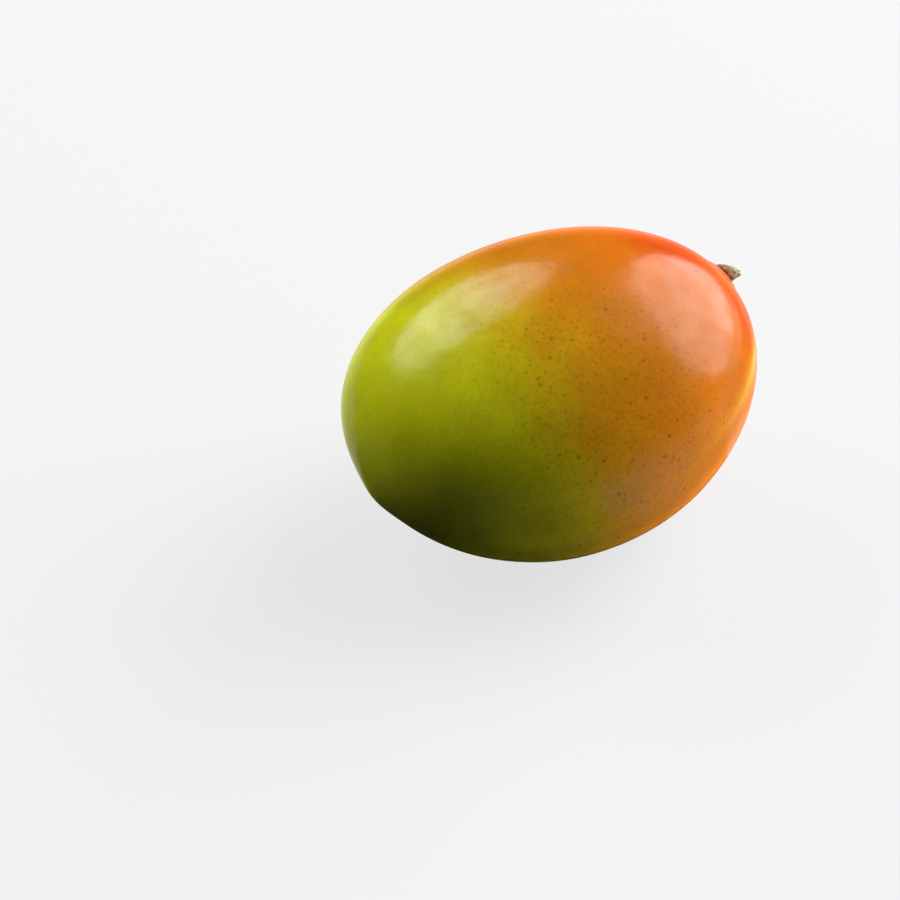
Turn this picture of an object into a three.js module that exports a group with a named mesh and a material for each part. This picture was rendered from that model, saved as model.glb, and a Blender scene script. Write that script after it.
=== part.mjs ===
// A whole mango lying on its side, in millimetres, with +Z up.
// +X runs along the fruit from its apex to its stem end, and the origin is on the surface it lies on,
// under the middle of its bounding box.
import * as THREE from "three";

// The body: an ellipsoid made fuller towards one end and bowed a little.
const LENGTH = 118;
const WIDTH = 93;
const THICKNESS = 82;
const WIDTH_TAPER = 0.03; // share by which the width falls towards the stem end
const THICKNESS_SWELL = 0.05; // share by which the thickness grows towards the stem end
const END_FULLNESS = 0.02; // extra thickness at both ends, which makes the shoulders blunt
const SIDE_BOW = 2.4; // how far both ends bend towards +Y
const UPWARD_BOW = 1.7; // how far both ends bend upwards

// Where the stem grows, in degrees off the long axis, and how the fruit leans as it lies.
const STEM_YAW = 13.5;
const STEM_PITCH = 12;
const ROLL = 12.5;
const TILT = 5;
const RESTING_DEPTH = 40; // from the middle of the body down to the flat spot
const RESTING_BLEND = 0.4; // height over which the flat spot rounds into the skin

// Relief of the skin.
const BOSS_HEIGHT = 3.5; // the swelling that the stem grows from, before its top is cut to a seat
const BOSS_RADIUS = 5.1;
const DISH_DEPTH = 0.4; // the shallow dish round the boss
const DISH_RADIUS = 7.5;
const SEAT_HEIGHT = 0.8;
const SEAT_FLOOR_RADIUS = 3.9;
const SEAT_RIM_RADIUS = 5;
const BEAK_HEIGHT = 0.9;
const BEAK_RADIUS = 7;
const SUTURE_HEIGHT = 0.35;
const SUTURE_WIDTH = 2.6;
const SUTURE_ROUND = 167; // degrees round the stem, measured from the +Y side over the top

// The stump of the stalk.
const STEM_LENGTH = 5;
const STEM_LEAN = 0.43; // how far its tip leans towards the long axis, as a share of its length
const STEM_GAP = 0.3; // clearance between the stump and its seat
const STEM_BASE_RADIUS = 3.6;
const STEM_TIP_RADIUS = 1.6;
const DISC_HEIGHT = 0.9; // thickness of the woody disc that the stump spreads into at its base
const STEM_SWEEP = 1.6; // above 1, the side sweeps in hollow from the disc to the broken end
const STEM_EDGE = 0.35; // rounding where the base and the broken end turn into the side
const STEM_RIDGES = 5;
const RIDGE_SHARE = 0.07;
const BREAK_SLANT = 0.5;
const BREAK_HOLLOW = 0.5;

// How finely the two closed surfaces are divided.
const FRUIT_RINGS = 50;
const FRUIT_SEGMENTS = 60;
const POLE_CROWDING = 1.4; // above 1, the rings crowd together round the stem
const STEM_SEGMENTS = 20;
const STEM_STEPS = 5; // rings up the side of the stump

const radians = THREE.MathUtils.degToRad;

// The skin's pole is where the stem grows. Side and top complete its right-handed axes.
const pole = new THREE.Vector3(
  Math.cos(radians(STEM_YAW)) * Math.cos(radians(STEM_PITCH)),
  Math.sin(radians(STEM_YAW)) * Math.cos(radians(STEM_PITCH)),
  Math.sin(radians(STEM_PITCH)),
);
const side = new THREE.Vector3(-Math.sin(radians(STEM_YAW)), Math.cos(radians(STEM_YAW)), 0);
const top = new THREE.Vector3().crossVectors(pole, side);
const lean = new THREE.Euler(radians(ROLL), -radians(TILT), 0, "YXZ");

// A point of the smooth body. Polar is the angle from the stem, round the angle about it.
function bodyPoint(polar, round) {
  const s = new THREE.Vector3()
    .addScaledVector(pole, Math.cos(polar))
    .addScaledVector(side, Math.sin(polar) * Math.cos(round))
    .addScaledVector(top, Math.sin(polar) * Math.sin(round));
  const endShare = s.x * s.x;
  return new THREE.Vector3(
    (LENGTH / 2) * s.x,
    (WIDTH / 2) * s.y * (1 - WIDTH_TAPER * s.x) + SIDE_BOW * endShare,
    (THICKNESS / 2) * s.z * (1 + THICKNESS_SWELL * s.x + END_FULLNESS * endShare) + UPWARD_BOW * endShare,
  );
}

const stemSpot = bodyPoint(0, 0);
const apexSpot = bodyPoint(Math.PI, 0);

// A bump that is 1 in its middle and fades to nothing past about twice its radius.
const bump = (distance, radius) => Math.exp(-((distance / radius) ** 2));

// How far the skin stands off the smooth body: the raised boss in its shallow dish, with a flat seat for
// the stem, the blunt beak at the apex, and the low ridge of the suture from the stem down one side.
function relief(point, polar, round) {
  const fromStem = point.distanceTo(stemSpot);
  const boss = BOSS_HEIGHT * bump(fromStem, BOSS_RADIUS) - DISH_DEPTH * bump(fromStem, DISH_RADIUS);
  const offSeat = THREE.MathUtils.smoothstep(fromStem, SEAT_FLOOR_RADIUS, SEAT_RIM_RADIUS);
  const shoulder = THREE.MathUtils.lerp(SEAT_HEIGHT, boss, offSeat);
  const beak = BEAK_HEIGHT * bump(point.distanceTo(apexSpot), BEAK_RADIUS);
  const offSuture = Math.sin(round - radians(SUTURE_ROUND)) * Math.sin(polar) * (WIDTH / 2);
  const facing = Math.max(0, Math.cos(round - radians(SUTURE_ROUND)));
  const suture = SUTURE_HEIGHT * bump(offSuture, SUTURE_WIDTH) * facing * Math.sin(polar) ** 2;
  return shoulder + beak + suture;
}

// Heights below the flat spot are lifted onto it, with a soft turn at its edge.
function onFlatSpot(z) {
  const above = z + RESTING_DEPTH;
  if (above >= RESTING_BLEND) return z;
  if (above <= -RESTING_BLEND) return -RESTING_DEPTH;
  return -RESTING_DEPTH + (above + RESTING_BLEND) ** 2 / (4 * RESTING_BLEND);
}

function skinPoint(polar, round) {
  const point = bodyPoint(polar, round);
  point.addScaledVector(point.clone().normalize(), relief(point, polar, round));
  point.applyEuler(lean);
  point.z = onFlatSpot(point.z);
  return point;
}

// A closed surface of rings between two end points. Each ring is a list of the same length.
function closedSurface(start, rings, end) {
  const segments = rings[0].length;
  const vertices = [start, ...rings.flat(), end];
  const last = vertices.length - 1;
  const at = (ring, segment) => 1 + ring * segments + (segment % segments);
  const index = [];
  for (let j = 0; j < segments; j++) {
    index.push(0, at(0, j), at(0, j + 1));
    for (let i = 0; i < rings.length - 1; i++) {
      index.push(at(i, j), at(i + 1, j), at(i + 1, j + 1));
      index.push(at(i, j), at(i + 1, j + 1), at(i, j + 1));
    }
    index.push(last, at(rings.length - 1, j + 1), at(rings.length - 1, j));
  }
  const geometry = new THREE.BufferGeometry().setFromPoints(vertices);
  geometry.setIndex(index);
  geometry.computeVertexNormals();
  return geometry;
}

function fruitGeometry() {
  const rings = [];
  for (let i = 1; i < FRUIT_RINGS; i++) {
    const polar = Math.PI * (i / FRUIT_RINGS) ** POLE_CROWDING;
    const ring = [];
    for (let j = 0; j < FRUIT_SEGMENTS; j++) ring.push(skinPoint(polar, (2 * Math.PI * j) / FRUIT_SEGMENTS));
    rings.push(ring);
  }
  return closedSurface(skinPoint(0, 0), rings, skinPoint(Math.PI, 0));
}

// The seat's middle, the direction that the skin faces there, and the side that the stump leans to.
function stemSeat() {
  const middle = skinPoint(0, 0);
  const nearby = radians(1);
  const across = skinPoint(nearby, 0).sub(skinPoint(nearby, Math.PI));
  const over = skinPoint(nearby, Math.PI / 2).sub(skinPoint(nearby, -Math.PI / 2));
  const facing = new THREE.Vector3().crossVectors(across, over).normalize();
  const leanTo = new THREE.Vector3(1, 0, 0).addScaledVector(facing, -facing.x).normalize();
  return { middle, facing, leanTo };
}

// The stump's radius at a height: a woody disc at the base, swept in to the broken end.
function stemRadius(height) {
  const rise = THREE.MathUtils.clamp((height - DISC_HEIGHT) / (STEM_LENGTH - DISC_HEIGHT), 0, 1);
  return THREE.MathUtils.lerp(STEM_TIP_RADIUS, STEM_BASE_RADIUS, (1 - rise) ** STEM_SWEEP);
}

// The stump's outline from its broken end down to its base, as heights and radii.
function stemOutline() {
  const outline = [
    [STEM_LENGTH - BREAK_HOLLOW, STEM_TIP_RADIUS / 2],
    [STEM_LENGTH, STEM_TIP_RADIUS - STEM_EDGE],
  ];
  for (let i = 0; i <= STEM_STEPS; i++) {
    const height = THREE.MathUtils.lerp(STEM_LENGTH - STEM_EDGE, DISC_HEIGHT, i / STEM_STEPS);
    outline.push([height, stemRadius(height)]);
  }
  outline.push([STEM_EDGE, STEM_BASE_RADIUS], [0, STEM_BASE_RADIUS - STEM_EDGE]);
  return outline;
}

function stemGeometry() {
  const { middle, facing, leanTo } = stemSeat();
  const base = middle.clone().addScaledVector(facing, STEM_GAP);
  const sideways = new THREE.Vector3().crossVectors(facing, leanTo);
  const centreAt = (height) =>
    base
      .clone()
      .addScaledVector(facing, height)
      .addScaledVector(leanTo, (STEM_LEAN * height * height) / STEM_LENGTH);
  const ringAt = ([height, radius]) => {
    const ring = [];
    const rise = height / STEM_LENGTH;
    for (let j = 0; j < STEM_SEGMENTS; j++) {
      const round = (2 * Math.PI * j) / STEM_SEGMENTS;
      const ridged = radius * (1 + RIDGE_SHARE * Math.cos(STEM_RIDGES * round));
      const slant = BREAK_SLANT * rise ** 3 * Math.cos(round);
      ring.push(
        centreAt(height)
          .addScaledVector(leanTo, ridged * Math.cos(round))
          .addScaledVector(sideways, ridged * Math.sin(round))
          .addScaledVector(facing, slant),
      );
    }
    return ring;
  };
  return closedSurface(centreAt(STEM_LENGTH - BREAK_HOLLOW), stemOutline().map(ringAt), base);
}

const fruit = new THREE.Mesh(
  fruitGeometry(),
  new THREE.MeshStandardMaterial({ color: 0xc98a1e, roughness: 0.38, metalness: 0 }),
);
fruit.name = "fruit";

const stem = new THREE.Mesh(
  stemGeometry(),
  new THREE.MeshStandardMaterial({ color: 0x8c6a44, roughness: 0.85, metalness: 0 }),
);
stem.name = "stem";

// The body was shaped about its own middle, so the whole is moved to stand on the origin.
const lying = new THREE.Group();
lying.add(fruit, stem);
const box = new THREE.Box3().setFromObject(lying);
const centre = box.getCenter(new THREE.Vector3());
lying.position.set(-centre.x, -centre.y, -box.min.z);

const mango = new THREE.Group();
mango.add(lying);

export default mango;
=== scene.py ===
import math

import bpy
from mathutils import Euler, Matrix, Vector, noise


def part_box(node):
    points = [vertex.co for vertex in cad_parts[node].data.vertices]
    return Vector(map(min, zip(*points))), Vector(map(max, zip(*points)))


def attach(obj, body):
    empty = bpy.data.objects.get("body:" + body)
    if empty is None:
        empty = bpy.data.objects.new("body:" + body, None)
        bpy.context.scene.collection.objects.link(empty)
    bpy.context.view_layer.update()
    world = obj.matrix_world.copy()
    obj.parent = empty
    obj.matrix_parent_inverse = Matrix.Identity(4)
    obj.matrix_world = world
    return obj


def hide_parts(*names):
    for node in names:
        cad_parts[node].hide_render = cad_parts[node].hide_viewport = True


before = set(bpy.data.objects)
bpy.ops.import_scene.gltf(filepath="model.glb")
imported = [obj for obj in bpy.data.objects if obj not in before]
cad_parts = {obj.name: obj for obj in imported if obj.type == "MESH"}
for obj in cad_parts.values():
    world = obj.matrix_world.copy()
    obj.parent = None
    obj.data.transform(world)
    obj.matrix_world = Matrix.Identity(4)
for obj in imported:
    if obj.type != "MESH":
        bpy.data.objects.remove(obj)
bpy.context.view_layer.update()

MM = 0.001

# The body, in millimetres and degrees, as the solid has it.
LENGTH = 118
WIDTH = 93
THICKNESS = 82
WIDTH_TAPER = 0.03
THICKNESS_SWELL = 0.05
END_FULLNESS = 0.02
SIDE_BOW = 2.4
UPWARD_BOW = 1.7
STEM_YAW = 13.5
STEM_PITCH = 12
ROLL = 12.5
TILT = 5
RESTING_DEPTH = 40
RESTING_BLEND = 0.4

# Relief of the skin, in millimetres and degrees. Only the unevenness isn't on the solid.
BOSS_HEIGHT = 3.5
BOSS_RADIUS = 5.1
DISH_DEPTH = 0.4
DISH_RADIUS = 7.5
SEAT_HEIGHT = 0.8
SEAT_FLOOR_RADIUS = 3.9
SEAT_RIM_RADIUS = 5
BEAK_HEIGHT = 0.9
BEAK_RADIUS = 7
SUTURE_HEIGHT = 0.35
SUTURE_WIDTH = 2.6
SUTURE_ROUND = 167
UNEVENNESS = 0.12
UNEVEN_LENGTH = 19

# The stump of the stalk, in millimetres. Its lean is a share of its length, its sweep a power.
STEM_LENGTH = 4.0
STEM_LEAN = 0.62
STEM_GAP = 0.3
STEM_BASE_RADIUS = 3.1
STEM_TIP_RADIUS = 1.7
FOOT_HEIGHT = 0.2
FOOT_INSET = 0.3
DISC_HEIGHT = 0.8
STEM_SWEEP = 0.85

# Each step in over the broken end, and how far it sinks, in millimetres.
BREAK_STEPS = ((0.12, 0.0), (0.3, 0.15), (0.35, 0.3), (0.3, 0.1))

# How rough the stump is: ridges of bark, lumps all over it, and the tear at its end.
BARK_RIDGES = 7
BARK_SHARE = 0.05
BARK_TWIST = 2
LUMP_SHARE = 0.12
LUMP_SCALE = 0.9
LUMP_STRETCH = 0.6
TEAR_DEPTH = 0.5
TEAR_SCALE = 1.3
TEAR_PLANE = 9
TEAR_SLANT = 0.3
TEAR_POWER = 6

# How finely the pieces are cut before they are smoothed.
SKIN_CUTS = 63
STEM_SIDES = 40
STEM_STEPS = 9

# How far round the pole the slope of the stem's seat is measured.
SEAT_REACH = 0.02

# The photograph's view, worked out from the fruit's outline: degrees, metres, then the lens and
# sensor in millimetres, and the pixel where the fruit's middle falls.
CAMERA_AZIMUTH = -22
CAMERA_ELEVATION = 42
CAMERA_DISTANCE = 0.585
LENS = 85
SENSOR = 36
PICTURE_SIDE = 900
FRUIT_PIXEL = (553.7, 394.2)

# Albedo along the fruit: places from the apex, at -1, to the stem end, at 1.
SKIN_COLOURS = (
    (-1.0, (0.67, 0.72, 0.009)),
    (-0.75, (0.66, 0.69, 0.009)),
    (-0.5, (0.480, 0.440, 0.006)),
    (-0.36, (0.440, 0.310, 0.005)),
    (-0.24, (0.410, 0.205, 0.005)),
    (-0.1, (0.39, 0.155, 0.004)),
    (0.1, (0.365, 0.118, 0.004)),
    (0.3, (0.360, 0.105, 0.004)),
    (0.5, (0.360, 0.092, 0.004)),
    (0.68, (0.350, 0.078, 0.004)),
    (0.85, (0.345, 0.040, 0.004)),
    (1.0, (0.33, 0.026, 0.005)),
)
BLUSH_DIRECTION = Vector((0.981, 0.173, -0.087))

# The side that saw the sun is blushed more, where the fruit isn't green.
SUNNY_SIDE = Vector((0.1, 0.45, 0.88)).normalized()
SUNNY_SPAN = (0.6, 1)
SUNNY_BLUSH = 0.23
RIPENING_SPAN = (-0.3, 0.3)

# Soft blotches, as scale to a metre, depth of detail and strength.
BLUSH_EDGES = ((34, 3, 0.34), (110, 3, 0.14), (420, 3, 0.10))
STREAK_WANDER = (70, 1, 0.05)
GRAIN = (1100, 3, 0.3)
CLOUD = (75, 4, 0.35)
UNEVEN_SKIN = (300, 4, 1)
UNEVEN_GLOSS = (230, 4, 0.2)
UNEVEN_WAX = (120, 5, 3.4)

# The pale streak along the suture, and the spans over which it comes up and fades out.
STREAK_COLOUR = (0.40, 0.155, 0.004)
STREAK_WIDTH = 0.14
STREAK_BELOW = (0.15, 0.75)
STREAK_FADING = (0.1, 0.65)

# The small scar at the apex.
SCAR_COLOUR = (0.10, 0.05, 0.015)
SCAR_RADIUS = 0.045
SCAR_CORE = 0.4

# Pores: where they are thick, and the fine and the larger ones.
PORE_TINT = (0.40, 0.32, 0.28)
PORE_MIDDLE = -0.05
PORE_SPAN = (0.25, 0.8)
PORES_AT_ENDS = 0.1
PORE_SIDE = Vector((-0.1, -0.85, 0.5)).normalized()
PORE_SIDE_SPAN = (0.2, 0.75)
PORES_ELSEWHERE = 0.35
FINE_PORES = {"Scale": 900, "Size": 0.42, "Share": 0.8, "Wobble": 0.0008}
LARGE_PORES = {"Scale": 420, "Size": 0.27, "Share": 0.5, "Wobble": 0.0012}
FINE_PORE_DEPTH = 0.6
WOBBLE_SCALE = 900
SMALLEST_DOT = 0.5
DOT_FALLOFF = 1.2

# Painted light: the skin's colour is made brighter towards its outline, standing in for light
# that scatters through the skin.
PAINTED_LIGHT_START = 0.62
PAINTED_LIMB_LIGHT = 1.9

# Gloss of the skin. The coat of wax is thinner in places, and isn't seen at the outline.
SKIN_ROUGHNESS = 0.16
SKIN_BUMP = {"Strength": 0.5, "Distance": 0.00022}
WAX_SHARE = 0.55
WAX_SPAN = (0.5, 0.78)
SKIN_CONSTANTS = {
    "IOR": 1.32,
    "Coat IOR": 1.34,
    "Coat Roughness": 0.19,
    "Diffuse Roughness": 0.4,
}

# The stalk. The scales of its blotches are to a millimetre, and its broken end comes in over a
# span of heights.
BARK_DARK = (0.045, 0.022, 0.010)
BARK_LIGHT = (0.20, 0.115, 0.058)
BARK_STRETCH = 0.22
BARK_STREAKS = (2.6, 4, 1.6)
BARK_BLOTCHES = (0.8, 3, 1.2)
BREAK_PALE = (0.20, 0.175, 0.105)
BREAK_TONE = 0.45
BREAK_SPAN = (2.5, 3.5)
STALK_BUMP = {"Strength": 0.7, "Distance": 0.0002}
STALK_CONSTANTS = {"Roughness": 0.85, "Specular IOR Level": 0.25}

# The floor as the camera sees it, and the little that it throws back at the fruit.
FLOOR_SIZE = 6
FLOOR_ALBEDO = 0.07
FLOOR_GLOW = 0.73
BOUNCE_ALBEDO = 0.02
FLOOR_CONSTANTS = {
    "Emission Color": (1, 1, 1, 1),
    "Roughness": 0.8,
    "Specular IOR Level": 0,
}

# Soft boxes, as azimuth, elevation, distance, width, height and radiance.
SHADING_BOXES = {
    "left_box": (-150, 40, 2.6, 2.6, 1.8, 5.8),
    "right_box": (100, 22, 3.0, 3.4, 2.4, 16.6),
    "high_right_box": (100, 50, 2.6, 2.2, 1.8, 8.2),
    "front_right_box": (65, 18, 2.6, 2.2, 1.3, 2.3),
    "back_box": (170, 25, 2.6, 2.2, 1.8, 1.1),
}
MIRRORED_BOXES = {
    "left_window": (-161, 41, 2.6, 2.8, 1.9, 2.7),
    "right_window": (99, 23, 3.0, 4.1, 3.9, 2.6),
}

# Lit parts of the floor, as the place of the middle, width, length and radiance.
SHADING_GLOWS = {"floor_glow": (0.15, -0.10, 0.28, 0.26, 4.6)}
MIRRORED_GLOWS = {
    "far_gleam": (0.95, 0.06, 1.25, 0.5, 0.65),
    "outline_gleam": (0.03, 0.17, 0.40, 0.34, 0.32),
    "near_gleam": (0.094, 0, 0.08, 0.065, 0.3),
}
GLOW_HEIGHT = 0.002

# The skin's pole is where the stem grows. Side and top complete its right-handed axes.
POLE = Vector((
    math.cos(math.radians(STEM_YAW)) * math.cos(math.radians(STEM_PITCH)),
    math.sin(math.radians(STEM_YAW)) * math.cos(math.radians(STEM_PITCH)),
    math.sin(math.radians(STEM_PITCH)),
))
SIDE = Vector((-math.sin(math.radians(STEM_YAW)), math.cos(math.radians(STEM_YAW)), 0))
TOP = POLE.cross(SIDE)
LEAN = Euler((math.radians(ROLL), math.radians(-TILT), 0)).to_matrix()


def body_point(s):
    """A point of the smooth body, from the unit direction s out of its middle."""
    end_share = s.x * s.x
    fullness = 1 + THICKNESS_SWELL * s.x + END_FULLNESS * end_share
    return Vector((
        LENGTH / 2 * s.x,
        WIDTH / 2 * s.y * (1 - WIDTH_TAPER * s.x) + SIDE_BOW * end_share,
        THICKNESS / 2 * s.z * fullness + UPWARD_BOW * end_share,
    ))


STEM_SPOT = body_point(POLE)
APEX_SPOT = body_point(-POLE)


def bump(distance, radius):
    return math.exp(-((distance / radius) ** 2))


def smoothstep(x, low, high):
    share = min(1, max(0, (x - low) / (high - low)))
    return share * share * (3 - 2 * share)


def relief(point, s):
    """How far the skin stands off the body: boss, dish, stem seat, beak, suture, unevenness."""
    from_stem = (point - STEM_SPOT).length
    boss = BOSS_HEIGHT * bump(from_stem, BOSS_RADIUS) - DISH_DEPTH * bump(from_stem, DISH_RADIUS)
    off_seat = smoothstep(from_stem, SEAT_FLOOR_RADIUS, SEAT_RIM_RADIUS)
    shoulder = SEAT_HEIGHT + (boss - SEAT_HEIGHT) * off_seat
    beak = BEAK_HEIGHT * bump((point - APEX_SPOT).length, BEAK_RADIUS)
    off_pole = math.sqrt(max(0, 1 - s.dot(POLE) ** 2))
    turn = math.atan2(s.dot(TOP), s.dot(SIDE)) - math.radians(SUTURE_ROUND)
    suture = SUTURE_HEIGHT * bump(math.sin(turn) * off_pole * WIDTH / 2, SUTURE_WIDTH)
    suture *= max(0, math.cos(turn)) * off_pole ** 2
    uneven = UNEVENNESS * (noise.noise(point / UNEVEN_LENGTH) - 0.5)
    return shoulder + beak + suture + uneven


def on_flat_spot(z):
    """Heights below the flat spot are lifted onto it, with a soft turn at its edge."""
    above = z + RESTING_DEPTH
    if above >= RESTING_BLEND:
        return z
    if above <= -RESTING_BLEND:
        return -RESTING_DEPTH
    return -RESTING_DEPTH + (above + RESTING_BLEND) ** 2 / (4 * RESTING_BLEND)


def skin_point(s):
    point = body_point(s)
    point += point.normalized() * relief(point, s)
    point = LEAN @ point
    point.z = on_flat_spot(point.z)
    return point


def start_piece(name):
    """The primitive just added, under its own name."""
    piece = bpy.context.object
    piece.name = name
    piece.data.name = name
    return piece


def edit(piece):
    bpy.context.view_layer.objects.active = piece
    bpy.ops.object.mode_set(mode="EDIT")
    bpy.ops.mesh.select_all(action="SELECT")


def leave_edit():
    bpy.ops.object.mode_set(mode="OBJECT")


def smooth(piece, levels):
    """Subdivides the piece smoothly for good, and shades it smooth."""
    modifier = piece.modifiers.new("Subsurf", "SUBSURF")
    modifier.levels = levels
    modifier.render_levels = levels
    bpy.ops.object.select_all(action="DESELECT")
    piece.select_set(True)
    bpy.context.view_layer.objects.active = piece
    bpy.ops.object.modifier_apply(modifier=modifier.name)
    bpy.ops.object.shade_smooth()


def model_fruit():
    """A finely cut cube, rounded to a sphere and drawn out to the mango's form."""
    bpy.ops.object.select_all(action="DESELECT")
    bpy.ops.mesh.primitive_cube_add(size=2)
    piece = start_piece("whole_fruit")
    edit(piece)
    bpy.ops.mesh.subdivide(number_cuts=SKIN_CUTS)
    bpy.ops.transform.tosphere(value=1)
    leave_edit()
    for vertex in piece.data.vertices:
        vertex.co = skin_point(vertex.co.normalized()) * MM
    smooth(piece, 1)
    return piece


def move_to_cad(piece):
    """Moves the fruit from its own middle to the place of the solid, and says how far."""
    places = [vertex.co for vertex in piece.data.vertices]
    cad_low, cad_high = (Vector(corner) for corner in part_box("fruit"))
    move = Vector((0, 0, RESTING_DEPTH * MM))
    for axis in (0, 1):
        low = min(place[axis] for place in places)
        high = max(place[axis] for place in places)
        move[axis] = (cad_low[axis] + cad_high[axis] - low - high) / 2
    piece.data.transform(Matrix.Translation(move))
    return move


def stem_seat():
    """The seat's middle, the way the skin faces there, and the side that the stump leans to."""
    around = [(POLE + SEAT_REACH * way).normalized() for way in (SIDE, -SIDE, TOP, -TOP)]
    across = skin_point(around[0]) - skin_point(around[1])
    over = skin_point(around[2]) - skin_point(around[3])
    facing = across.cross(over).normalized()
    lean_to = (Vector((1, 0, 0)) - facing * facing.x).normalized()
    return skin_point(POLE), facing, lean_to


def stem_radius(height):
    """The stump's radius at a height: a woody disc at the base, swept in to the broken end."""
    rise = min(1, max(0, (height - DISC_HEIGHT) / (STEM_LENGTH - DISC_HEIGHT)))
    return STEM_TIP_RADIUS + (STEM_BASE_RADIUS - STEM_TIP_RADIUS) * (1 - rise) ** STEM_SWEEP


def raise_ring(rise, from_radius, to_radius):
    """Draws the selected faces up by the rise and brings their edge to the new radius."""
    bpy.ops.mesh.extrude_region_move(TRANSFORM_OT_translate={"value": (0, 0, rise * MM)})
    share = to_radius / from_radius
    bpy.ops.transform.resize(value=(share, share, 1))


def model_stem():
    """A disc drawn up ring by ring into a swept stump with a hollow, torn end."""
    foot = STEM_BASE_RADIUS - FOOT_INSET
    bpy.ops.object.select_all(action="DESELECT")
    bpy.ops.mesh.primitive_circle_add(vertices=STEM_SIDES, radius=foot * MM, fill_type="NGON")
    piece = start_piece("stalk_stump")
    edit(piece)
    raise_ring(FOOT_HEIGHT, foot, STEM_BASE_RADIUS)
    height = FOOT_HEIGHT
    for i in range(STEM_STEPS):
        next_height = DISC_HEIGHT + (STEM_LENGTH - DISC_HEIGHT) * i / (STEM_STEPS - 1)
        raise_ring(next_height - height, stem_radius(height), stem_radius(next_height))
        height = next_height
    for inset, sink in BREAK_STEPS:
        bpy.ops.mesh.inset(thickness=inset * MM)
        bpy.ops.transform.translate(value=(0, 0, -sink * MM))
    bpy.ops.mesh.select_all(action="SELECT")
    bpy.ops.mesh.normals_make_consistent(inside=False)
    leave_edit()
    roughen_stem(piece)
    smooth(piece, 2)
    seat_stem(piece)
    return piece


def roughen_stem(piece):
    """Bark ridges up the side, a lumpy disc, and a torn end that slants."""
    for vertex in piece.data.vertices:
        x, y, z = vertex.co / MM
        round_stem = math.atan2(y, x)
        rise = z / STEM_LENGTH
        swell = 1 + BARK_SHARE * math.cos(BARK_RIDGES * round_stem + BARK_TWIST * rise)
        swell += LUMP_SHARE * noise.noise(Vector((x, y, z * LUMP_STRETCH)) * LUMP_SCALE)
        tear = TEAR_DEPTH * noise.noise(Vector((x, y, TEAR_PLANE)) * TEAR_SCALE)
        tear -= TEAR_SLANT * math.cos(round_stem)
        vertex.co = Vector((x * swell, y * swell, z + rise ** TEAR_POWER * tear)) * MM


def seat_stem(piece):
    """Stands the stump on its seat, leaning more the higher it gets."""
    middle, facing, lean_to = stem_seat()
    sideways = facing.cross(lean_to)
    base = middle + facing * STEM_GAP
    for vertex in piece.data.vertices:
        x, y, z = vertex.co / MM
        place = base + facing * z + lean_to * (x + STEM_LEAN * z * z / STEM_LENGTH) + sideways * y
        vertex.co = place * MM + BODY_MIDDLE


def feed(tree, socket, value):
    """Links the value to the socket where it is a socket too, and otherwise sets it there."""
    if isinstance(value, bpy.types.NodeSocket):
        tree.links.new(value, socket)
    else:
        socket.default_value = value


def feed_all(tree, node, inputs):
    for key, value in inputs.items():
        feed(tree, node.inputs[key], value)


def add_node(tree, kind, inputs=(), **settings):
    """A node of the kind, with its settings and its inputs."""
    node = tree.nodes.new("ShaderNode" + kind)
    for key, value in settings.items():
        setattr(node, key, value)
    feed_all(tree, node, dict(inputs))
    return node


def calculate(tree, operation, *values, clamp=False):
    node = add_node(tree, "Math", enumerate(values), operation=operation, use_clamp=clamp)
    return node.outputs[0]


def vector_math(tree, operation, inputs):
    return add_node(tree, "VectorMath", inputs, operation=operation)


def dot_with(tree, vector, fixed):
    return vector_math(tree, "DOT_PRODUCT", {0: vector, 1: tuple(fixed)}).outputs["Value"]


def shade(tree, colour, tone):
    """The colour made lighter or darker by the tone, which is about 1."""
    return vector_math(tree, "SCALE", {0: colour, "Scale": tone}).outputs[0]


def fade(tree, value, low, high, to_low=0, to_high=1):
    """The value carried smoothly from the span low..high to the span to_low..to_high."""
    inputs = {
        "Value": value,
        "From Min": low,
        "From Max": high,
        "To Min": to_low,
        "To Max": to_high,
    }
    node = add_node(tree, "MapRange", inputs, interpolation_type="SMOOTHSTEP")
    return node.outputs["Result"]


def colour_ramp(tree, factor, stops):
    node = add_node(tree, "ValToRGB", {"Fac": factor})
    elements = node.color_ramp.elements
    while len(elements) < len(stops):
        elements.new(1)
    for element, (place, colour) in zip(elements, stops):
        element.position = place
        element.color = (*colour, 1)
    return node.outputs["Color"]


# The sockets of a Mix node that belong to colours.
FIRST_COLOUR = 6
SECOND_COLOUR = 7
MIXED_COLOUR = 2


def mix_colour(tree, factor, first, second, blend="MIX"):
    node = add_node(tree, "Mix", {0: factor}, data_type="RGBA", blend_type=blend)
    for key, value in ((FIRST_COLOUR, first), (SECOND_COLOUR, second)):
        if isinstance(value, tuple):
            value = (*value, 1)
        feed(tree, node.inputs[key], value)
    return node.outputs[MIXED_COLOUR]


def add_bump(tree, shader, height, settings):
    node = add_node(tree, "Bump", {**settings, "Height": height})
    tree.links.new(node.outputs["Normal"], shader.inputs["Normal"])


def new_material(name):
    material = bpy.data.materials.new(name)
    material.use_nodes = True
    return material, material.node_tree, material.node_tree.nodes["Principled BSDF"]


def new_group(name, inputs, output):
    """A node group with vector or float inputs, given with their first values, and one output."""
    group = bpy.data.node_groups.new(name, "ShaderNodeTree")
    for label, value in inputs.items():
        kind = "NodeSocketVector" if value is None else "NodeSocketFloat"
        socket = group.interface.new_socket(name=label, in_out="INPUT", socket_type=kind)
        if value is not None:
            socket.default_value = value
    group.interface.new_socket(name=output, in_out="OUTPUT", socket_type="NodeSocketFloat")
    entry = group.nodes.new("NodeGroupInput")
    leave = group.nodes.new("NodeGroupOutput")
    return group, entry.outputs, leave.inputs[output]


def use_group(tree, group, inputs):
    node = tree.nodes.new("ShaderNodeGroup")
    node.node_tree = group
    feed_all(tree, node, inputs)
    return node.outputs[0]


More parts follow.
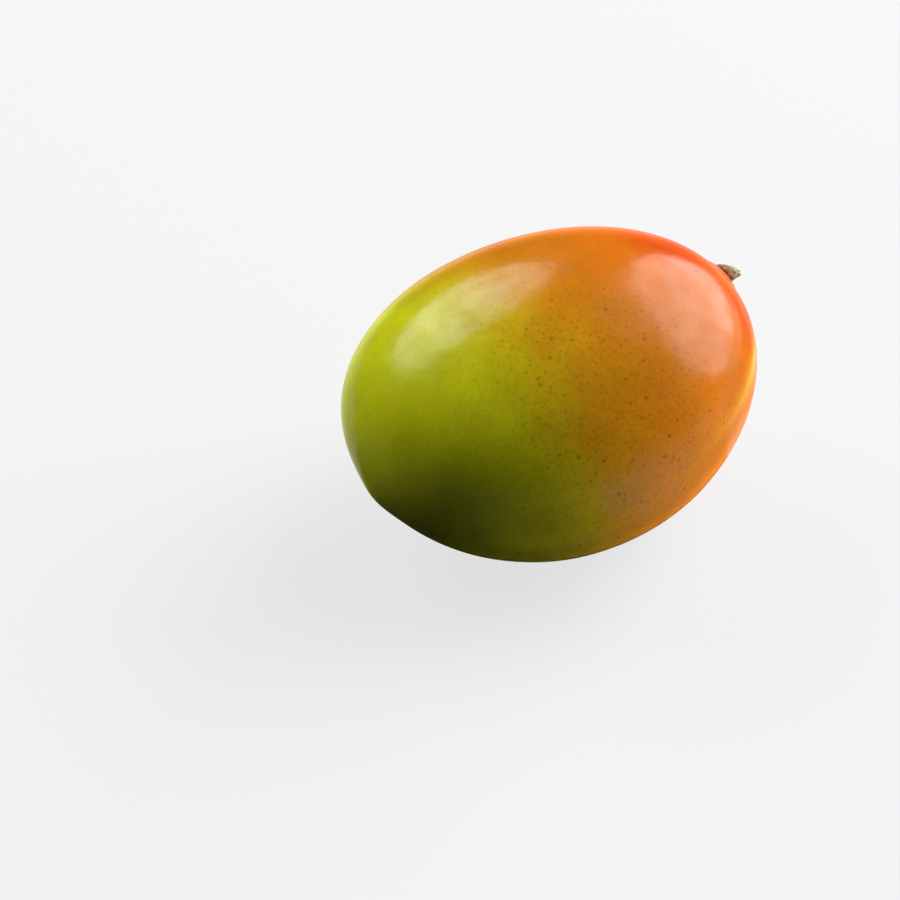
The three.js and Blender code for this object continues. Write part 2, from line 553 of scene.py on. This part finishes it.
def mottle_group():
    """Soft blotches: noise at a scale, centred on nothing and of the given strength."""
    inputs = {"Place": None, "Scale": 50, "Depth": 2, "Strength": 1}
    group, given, result = new_group("mottle", inputs, "Shift")
    settings = {"Vector": given["Place"], "Scale": given["Scale"], "Detail": given["Depth"]}
    cloud = add_node(group, "TexNoise", settings).outputs["Fac"]
    centred = calculate(group, "SUBTRACT", cloud, 0.5)
    group.links.new(calculate(group, "MULTIPLY", centred, given["Strength"]), result)
    return group


def dots_group():
    """Small separate dots of uneven size: a share of the cells, so many to a metre, holds one."""
    inputs = {"Place": None, "Scale": 300, "Size": 0.2, "Share": 0.5, "Wobble": 0.001}
    group, given, result = new_group("dots", inputs, "Mask")
    settings = {"Vector": given["Place"], "Scale": WOBBLE_SCALE, "Detail": 1}
    wander = add_node(group, "TexNoise", settings).outputs["Color"]
    centred = vector_math(group, "SUBTRACT", {0: wander, 1: (0.5, 0.5, 0.5)}).outputs[0]
    shift = shade(group, centred, given["Wobble"])
    place = vector_math(group, "ADD", {0: given["Place"], 1: shift}).outputs[0]
    cells = add_node(group, "TexVoronoi", {"Vector": place, "Scale": given["Scale"]}).outputs
    chance = add_node(group, "SeparateColor", {"Color": cells["Color"]}).outputs
    share_of_size = calculate(group, "ADD", chance["Green"], SMALLEST_DOT)
    size = calculate(group, "MULTIPLY", given["Size"], share_of_size)
    off = calculate(group, "DIVIDE", cells["Distance"], size)
    near = calculate(group, "SUBTRACT", 1, off, clamp=True)
    kept = calculate(group, "LESS_THAN", chance["Red"], given["Share"])
    soft = calculate(group, "POWER", near, DOT_FALLOFF)
    group.links.new(calculate(group, "MULTIPLY", soft, kept), result)
    return group


MOTTLE = mottle_group()
DOTS = dots_group()


def mottle(tree, place, scale, depth, strength):
    inputs = {"Place": place, "Scale": scale, "Depth": depth, "Strength": strength}
    return use_group(tree, MOTTLE, inputs)


def unit_place(tree, place):
    """Object coordinates brought to the fruit's own axes, with its half sizes as the unit."""
    half_sizes = Vector((LENGTH, WIDTH, THICKNESS)) / 2 * MM
    mapping = {
        "Vector": place,
        "Location": tuple(BODY_MIDDLE),
        "Rotation": (math.radians(ROLL), math.radians(-TILT), 0),
        "Scale": tuple(half_sizes),
    }
    return add_node(tree, "Mapping", mapping, vector_type="TEXTURE").outputs["Vector"]


def blush_place(tree, place, unit):
    """How far along the fruit's colours a spot is, with blotchy edges at three sizes."""
    along = dot_with(tree, unit, BLUSH_DIRECTION)
    for blotches in BLUSH_EDGES:
        along = calculate(tree, "ADD", along, mottle(tree, place, *blotches))
    upper = fade(tree, dot_with(tree, unit, SUNNY_SIDE), *SUNNY_SPAN)
    ripe = calculate(tree, "MULTIPLY", upper, fade(tree, along, *RIPENING_SPAN))
    return calculate(tree, "MULTIPLY_ADD", ripe, SUNNY_BLUSH, along)


def streak_mask(tree, place, unit):
    """The pale line that follows the suture down from the stem and fades out along the side."""
    round_suture = math.radians(SUTURE_ROUND)
    down = SIDE * math.cos(round_suture) + TOP * math.sin(round_suture)
    wander = mottle(tree, place, *STREAK_WANDER)
    off = calculate(tree, "ADD", dot_with(tree, unit, POLE.cross(down)), wander)
    narrow = fade(tree, calculate(tree, "ABSOLUTE", off), 0, STREAK_WIDTH, 1, 0)
    below = fade(tree, dot_with(tree, unit, down), *STREAK_BELOW)
    fading = fade(tree, dot_with(tree, unit, POLE), *STREAK_FADING)
    return calculate(tree, "MULTIPLY", calculate(tree, "MULTIPLY", narrow, below), fading)


def scar_mask(tree, unit):
    away = vector_math(tree, "DISTANCE", {0: unit, 1: tuple(-POLE)}).outputs["Value"]
    return fade(tree, away, SCAR_RADIUS * SCAR_CORE, SCAR_RADIUS, 1, 0)


def pores(tree, place, unit, along):
    """Dark pores, fine and larger, thick over the middle of the fruit and few at its ends."""
    off_middle = calculate(tree, "ABSOLUTE", calculate(tree, "SUBTRACT", along, PORE_MIDDLE))
    central = fade(tree, off_middle, *PORE_SPAN, 1, PORES_AT_ENDS)
    facing = dot_with(tree, unit, PORE_SIDE)
    beside = fade(tree, facing, *PORE_SIDE_SPAN, PORES_ELSEWHERE, 1)
    thick = calculate(tree, "MULTIPLY", central, beside)
    fine = use_group(tree, DOTS, {"Place": place, **FINE_PORES})
    large = use_group(tree, DOTS, {"Place": place, **LARGE_PORES})
    both = calculate(tree, "MAXIMUM", calculate(tree, "MULTIPLY", fine, FINE_PORE_DEPTH), large)
    return calculate(tree, "MULTIPLY", both, thick)


def skin_colour(tree, place, unit, outline):
    """Blush, streak, soft unevenness, pores and scar, with painted light that brightens it
    towards the outline.
    """
    along = blush_place(tree, place, unit)
    factor = calculate(tree, "MULTIPLY_ADD", along, 0.5, 0.5)
    stops = [((spot + 1) / 2, colour) for spot, colour in SKIN_COLOURS]
    colour = colour_ramp(tree, factor, stops)
    colour = mix_colour(tree, streak_mask(tree, place, unit), colour, STREAK_COLOUR)
    uneven = calculate(tree, "ADD", mottle(tree, place, *GRAIN), mottle(tree, place, *CLOUD))
    colour = shade(tree, colour, calculate(tree, "ADD", uneven, 1))
    dots = pores(tree, place, unit, along)
    colour = mix_colour(tree, dots, colour, PORE_TINT, blend="MULTIPLY")
    colour = mix_colour(tree, scar_mask(tree, unit), colour, SCAR_COLOUR)
    # Painted light: the colour is made brighter towards the outline, as if lit through the skin.
    return shade(tree, colour, fade(tree, outline, PAINTED_LIGHT_START, 1, 1, PAINTED_LIMB_LIGHT))


def skin_material():
    material, tree, shader = new_material("skin")
    place = add_node(tree, "TexCoord").outputs["Object"]
    outline = add_node(tree, "LayerWeight", {"Blend": 0.5}).outputs["Facing"]
    colour = skin_colour(tree, place, unit_place(tree, place), outline)
    matt = calculate(tree, "ADD", mottle(tree, place, *UNEVEN_GLOSS), SKIN_ROUGHNESS)
    waxy = calculate(tree, "ADD", mottle(tree, place, *UNEVEN_WAX), WAX_SHARE, clamp=True)
    within = fade(tree, outline, *WAX_SPAN, 1, 0)
    inputs = {
        "Base Color": colour,
        "Roughness": matt,
        "Coat Weight": calculate(tree, "MULTIPLY", waxy, within),
    }
    feed_all(tree, shader, inputs)
    feed_all(tree, shader, SKIN_CONSTANTS)
    add_bump(tree, shader, mottle(tree, place, *UNEVEN_SKIN), SKIN_BUMP)
    return material


def stalk_place(tree):
    """Millimetres from the stump's seat, with its height as the third of them."""
    middle, facing, lean_to = stem_seat()
    turn = Matrix((lean_to, facing.cross(lean_to), facing)).transposed().to_euler()
    mapping = {
        "Vector": add_node(tree, "TexCoord").outputs["Object"],
        "Location": tuple(middle * MM + BODY_MIDDLE),
        "Rotation": tuple(turn),
        "Scale": (MM, MM, MM),
    }
    return add_node(tree, "Mapping", mapping, vector_type="TEXTURE").outputs["Vector"]


def stalk_material():
    """Brown bark with streaks that run up it, and a pale fibrous end where it broke off."""
    material, tree, shader = new_material("stalk")
    place = stalk_place(tree)
    stretch = {"Vector": place, "Scale": (1, 1, BARK_STRETCH)}
    drawn_out = add_node(tree, "Mapping", stretch).outputs["Vector"]
    streaks = mottle(tree, drawn_out, *BARK_STREAKS)
    blotch = mottle(tree, place, *BARK_BLOTCHES)
    uneven = calculate(tree, "ADD", streaks, blotch)
    fibre = calculate(tree, "ADD", uneven, 0.5, clamp=True)
    bark = mix_colour(tree, fibre, BARK_DARK, BARK_LIGHT)
    broken = shade(tree, BREAK_PALE, calculate(tree, "ADD", fibre, BREAK_TONE))
    height = add_node(tree, "SeparateXYZ", {"Vector": place}).outputs["Z"]
    at_break = fade(tree, calculate(tree, "ADD", height, blotch), *BREAK_SPAN)
    feed(tree, shader.inputs["Base Color"], mix_colour(tree, at_break, bark, broken))
    feed_all(tree, shader, STALK_CONSTANTS)
    add_bump(tree, shader, streaks, STALK_BUMP)
    return material


def grey(level):
    return (level, level, level)


def floor_material():
    """Pale and evenly lit to the eye, but it throws little light back up at the fruit."""
    material, tree, shader = new_material("pale_floor")
    seen = add_node(tree, "LightPath").outputs["Is Camera Ray"]
    colour = mix_colour(tree, seen, grey(BOUNCE_ALBEDO), grey(FLOOR_ALBEDO))
    glow = calculate(tree, "MULTIPLY", seen, FLOOR_GLOW)
    feed_all(tree, shader, {"Base Color": colour, "Emission Strength": glow})
    feed_all(tree, shader, FLOOR_CONSTANTS)
    return material


def add_floor():
    bpy.ops.object.select_all(action="DESELECT")
    bpy.ops.mesh.primitive_plane_add(size=FLOOR_SIZE)
    floor = start_piece("pale_floor")
    floor.data.materials.append(floor_material())


def direction(azimuth, elevation):
    """The way out from the fruit to what stands at these angles, given as the camera's are."""
    a = math.radians(azimuth)
    e = math.radians(elevation)
    return Vector((math.sin(a) * math.cos(e), -math.cos(a) * math.cos(e), math.sin(e)))


def add_camera():
    """A camera at the photograph's angle, placed so that the fruit falls where it does there."""
    back = direction(CAMERA_AZIMUTH, CAMERA_ELEVATION)
    a = math.radians(CAMERA_AZIMUTH)
    right = Vector((math.cos(a), math.sin(a), 0))
    up = back.cross(right)
    focal_pixels = PICTURE_SIDE * LENS / SENSOR
    off_right = (FRUIT_PIXEL[0] - PICTURE_SIDE / 2) / focal_pixels * CAMERA_DISTANCE
    off_up = (PICTURE_SIDE / 2 - FRUIT_PIXEL[1]) / focal_pixels * CAMERA_DISTANCE
    place = BODY_MIDDLE + back * CAMERA_DISTANCE - right * off_right - up * off_up
    turn = Matrix((right, up, back)).transposed()
    data = bpy.data.cameras.new("camera")
    data.lens = LENS
    data.sensor_width = SENSOR
    camera = bpy.data.objects.new("camera", data)
    camera.matrix_world = Matrix.Translation(place) @ turn.to_4x4()
    bpy.context.scene.collection.objects.link(camera)
    bpy.context.scene.camera = camera


def add_light(name, place, facing, width, height, radiance, mirrored):
    """An oval light that either shows in the gloss of the skin or only lights the skin."""
    data = bpy.data.lights.new(name, "AREA")
    data.shape = "ELLIPSE"
    data.size = width
    data.size_y = height
    area = math.pi / 4 * width * height
    data.energy = radiance * math.pi * area
    light = bpy.data.objects.new(name, data)
    light.location = place
    light.rotation_euler = (-facing).to_track_quat("Z", "Y").to_euler()
    light.visible_diffuse = not mirrored
    light.visible_glossy = mirrored
    bpy.context.scene.collection.objects.link(light)


def add_soft_boxes(boxes, mirrored):
    for name, (azimuth, elevation, distance, width, height, radiance) in boxes.items():
        away = direction(azimuth, elevation)
        place = BODY_MIDDLE + away * distance
        add_light(name, place, -away, width, height, radiance, mirrored)


def add_floor_glows(glows, mirrored):
    """Lit parts of the floor, which shine up at the fruit."""
    up = Vector((0, 0, 1))
    for name, (x, y, width, length, radiance) in glows.items():
        add_light(name, Vector((x, y, GLOW_HEIGHT)), up, width, length, radiance, mirrored)


def add_lights():
    """The lights that shade the skin, then the ones that its gloss mirrors, in a dark world."""
    add_soft_boxes(SHADING_BOXES, mirrored=False)
    add_floor_glows(SHADING_GLOWS, mirrored=False)
    add_soft_boxes(MIRRORED_BOXES, mirrored=True)
    add_floor_glows(MIRRORED_GLOWS, mirrored=True)
    world = bpy.data.worlds.new("studio")
    world.use_nodes = True
    world.node_tree.nodes["Background"].inputs["Color"].default_value = (0, 0, 0, 1)
    bpy.context.scene.world = world


fruit = model_fruit()
BODY_MIDDLE = move_to_cad(fruit)
stem = model_stem()

fruit.data.materials.append(skin_material())
stem.data.materials.append(stalk_material())
for piece, node, slot in ((fruit, "fruit", "skin"), (stem, "stem", "stalk")):
    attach(piece, "root")
    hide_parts(node)

add_floor()
add_camera()
add_lights()
bpy.context.scene.view_settings.view_transform = "Standard"
